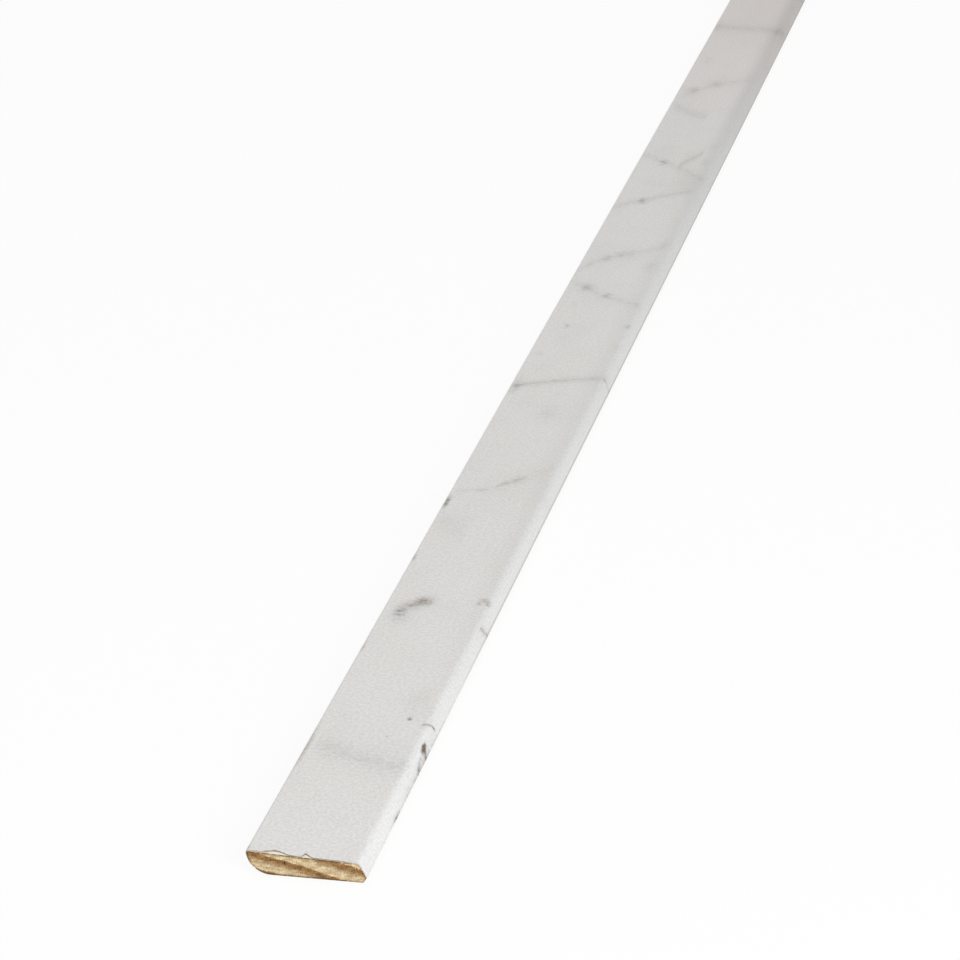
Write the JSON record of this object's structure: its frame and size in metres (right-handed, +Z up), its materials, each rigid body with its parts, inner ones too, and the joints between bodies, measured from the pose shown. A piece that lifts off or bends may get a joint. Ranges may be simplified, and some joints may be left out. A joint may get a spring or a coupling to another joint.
{
  "type": "skirting board",
  "caption": "Long flat skirting board with a rounded head edge and a relieved foot, a softwood core wrapped in a thin marble-print film, fixed along the base of a wall.",
  "frame": {"origin": "middle of the board's back, at the centre of the bounding box's base", "axes": "+X across the board from the foot edge to the head edge, +Y along its length away from the chipped end, +Z up out of the printed face"},
  "size_m": [0.0398, 2.4, 0.008],
  "materials": {
    "softwood": "matte",
    "decor_film": "satin"
  },
  "bodies": {
    "root": {"softwood_core": "softwood", "decor_film": "decor_film"}
  },
  "joints": []
}
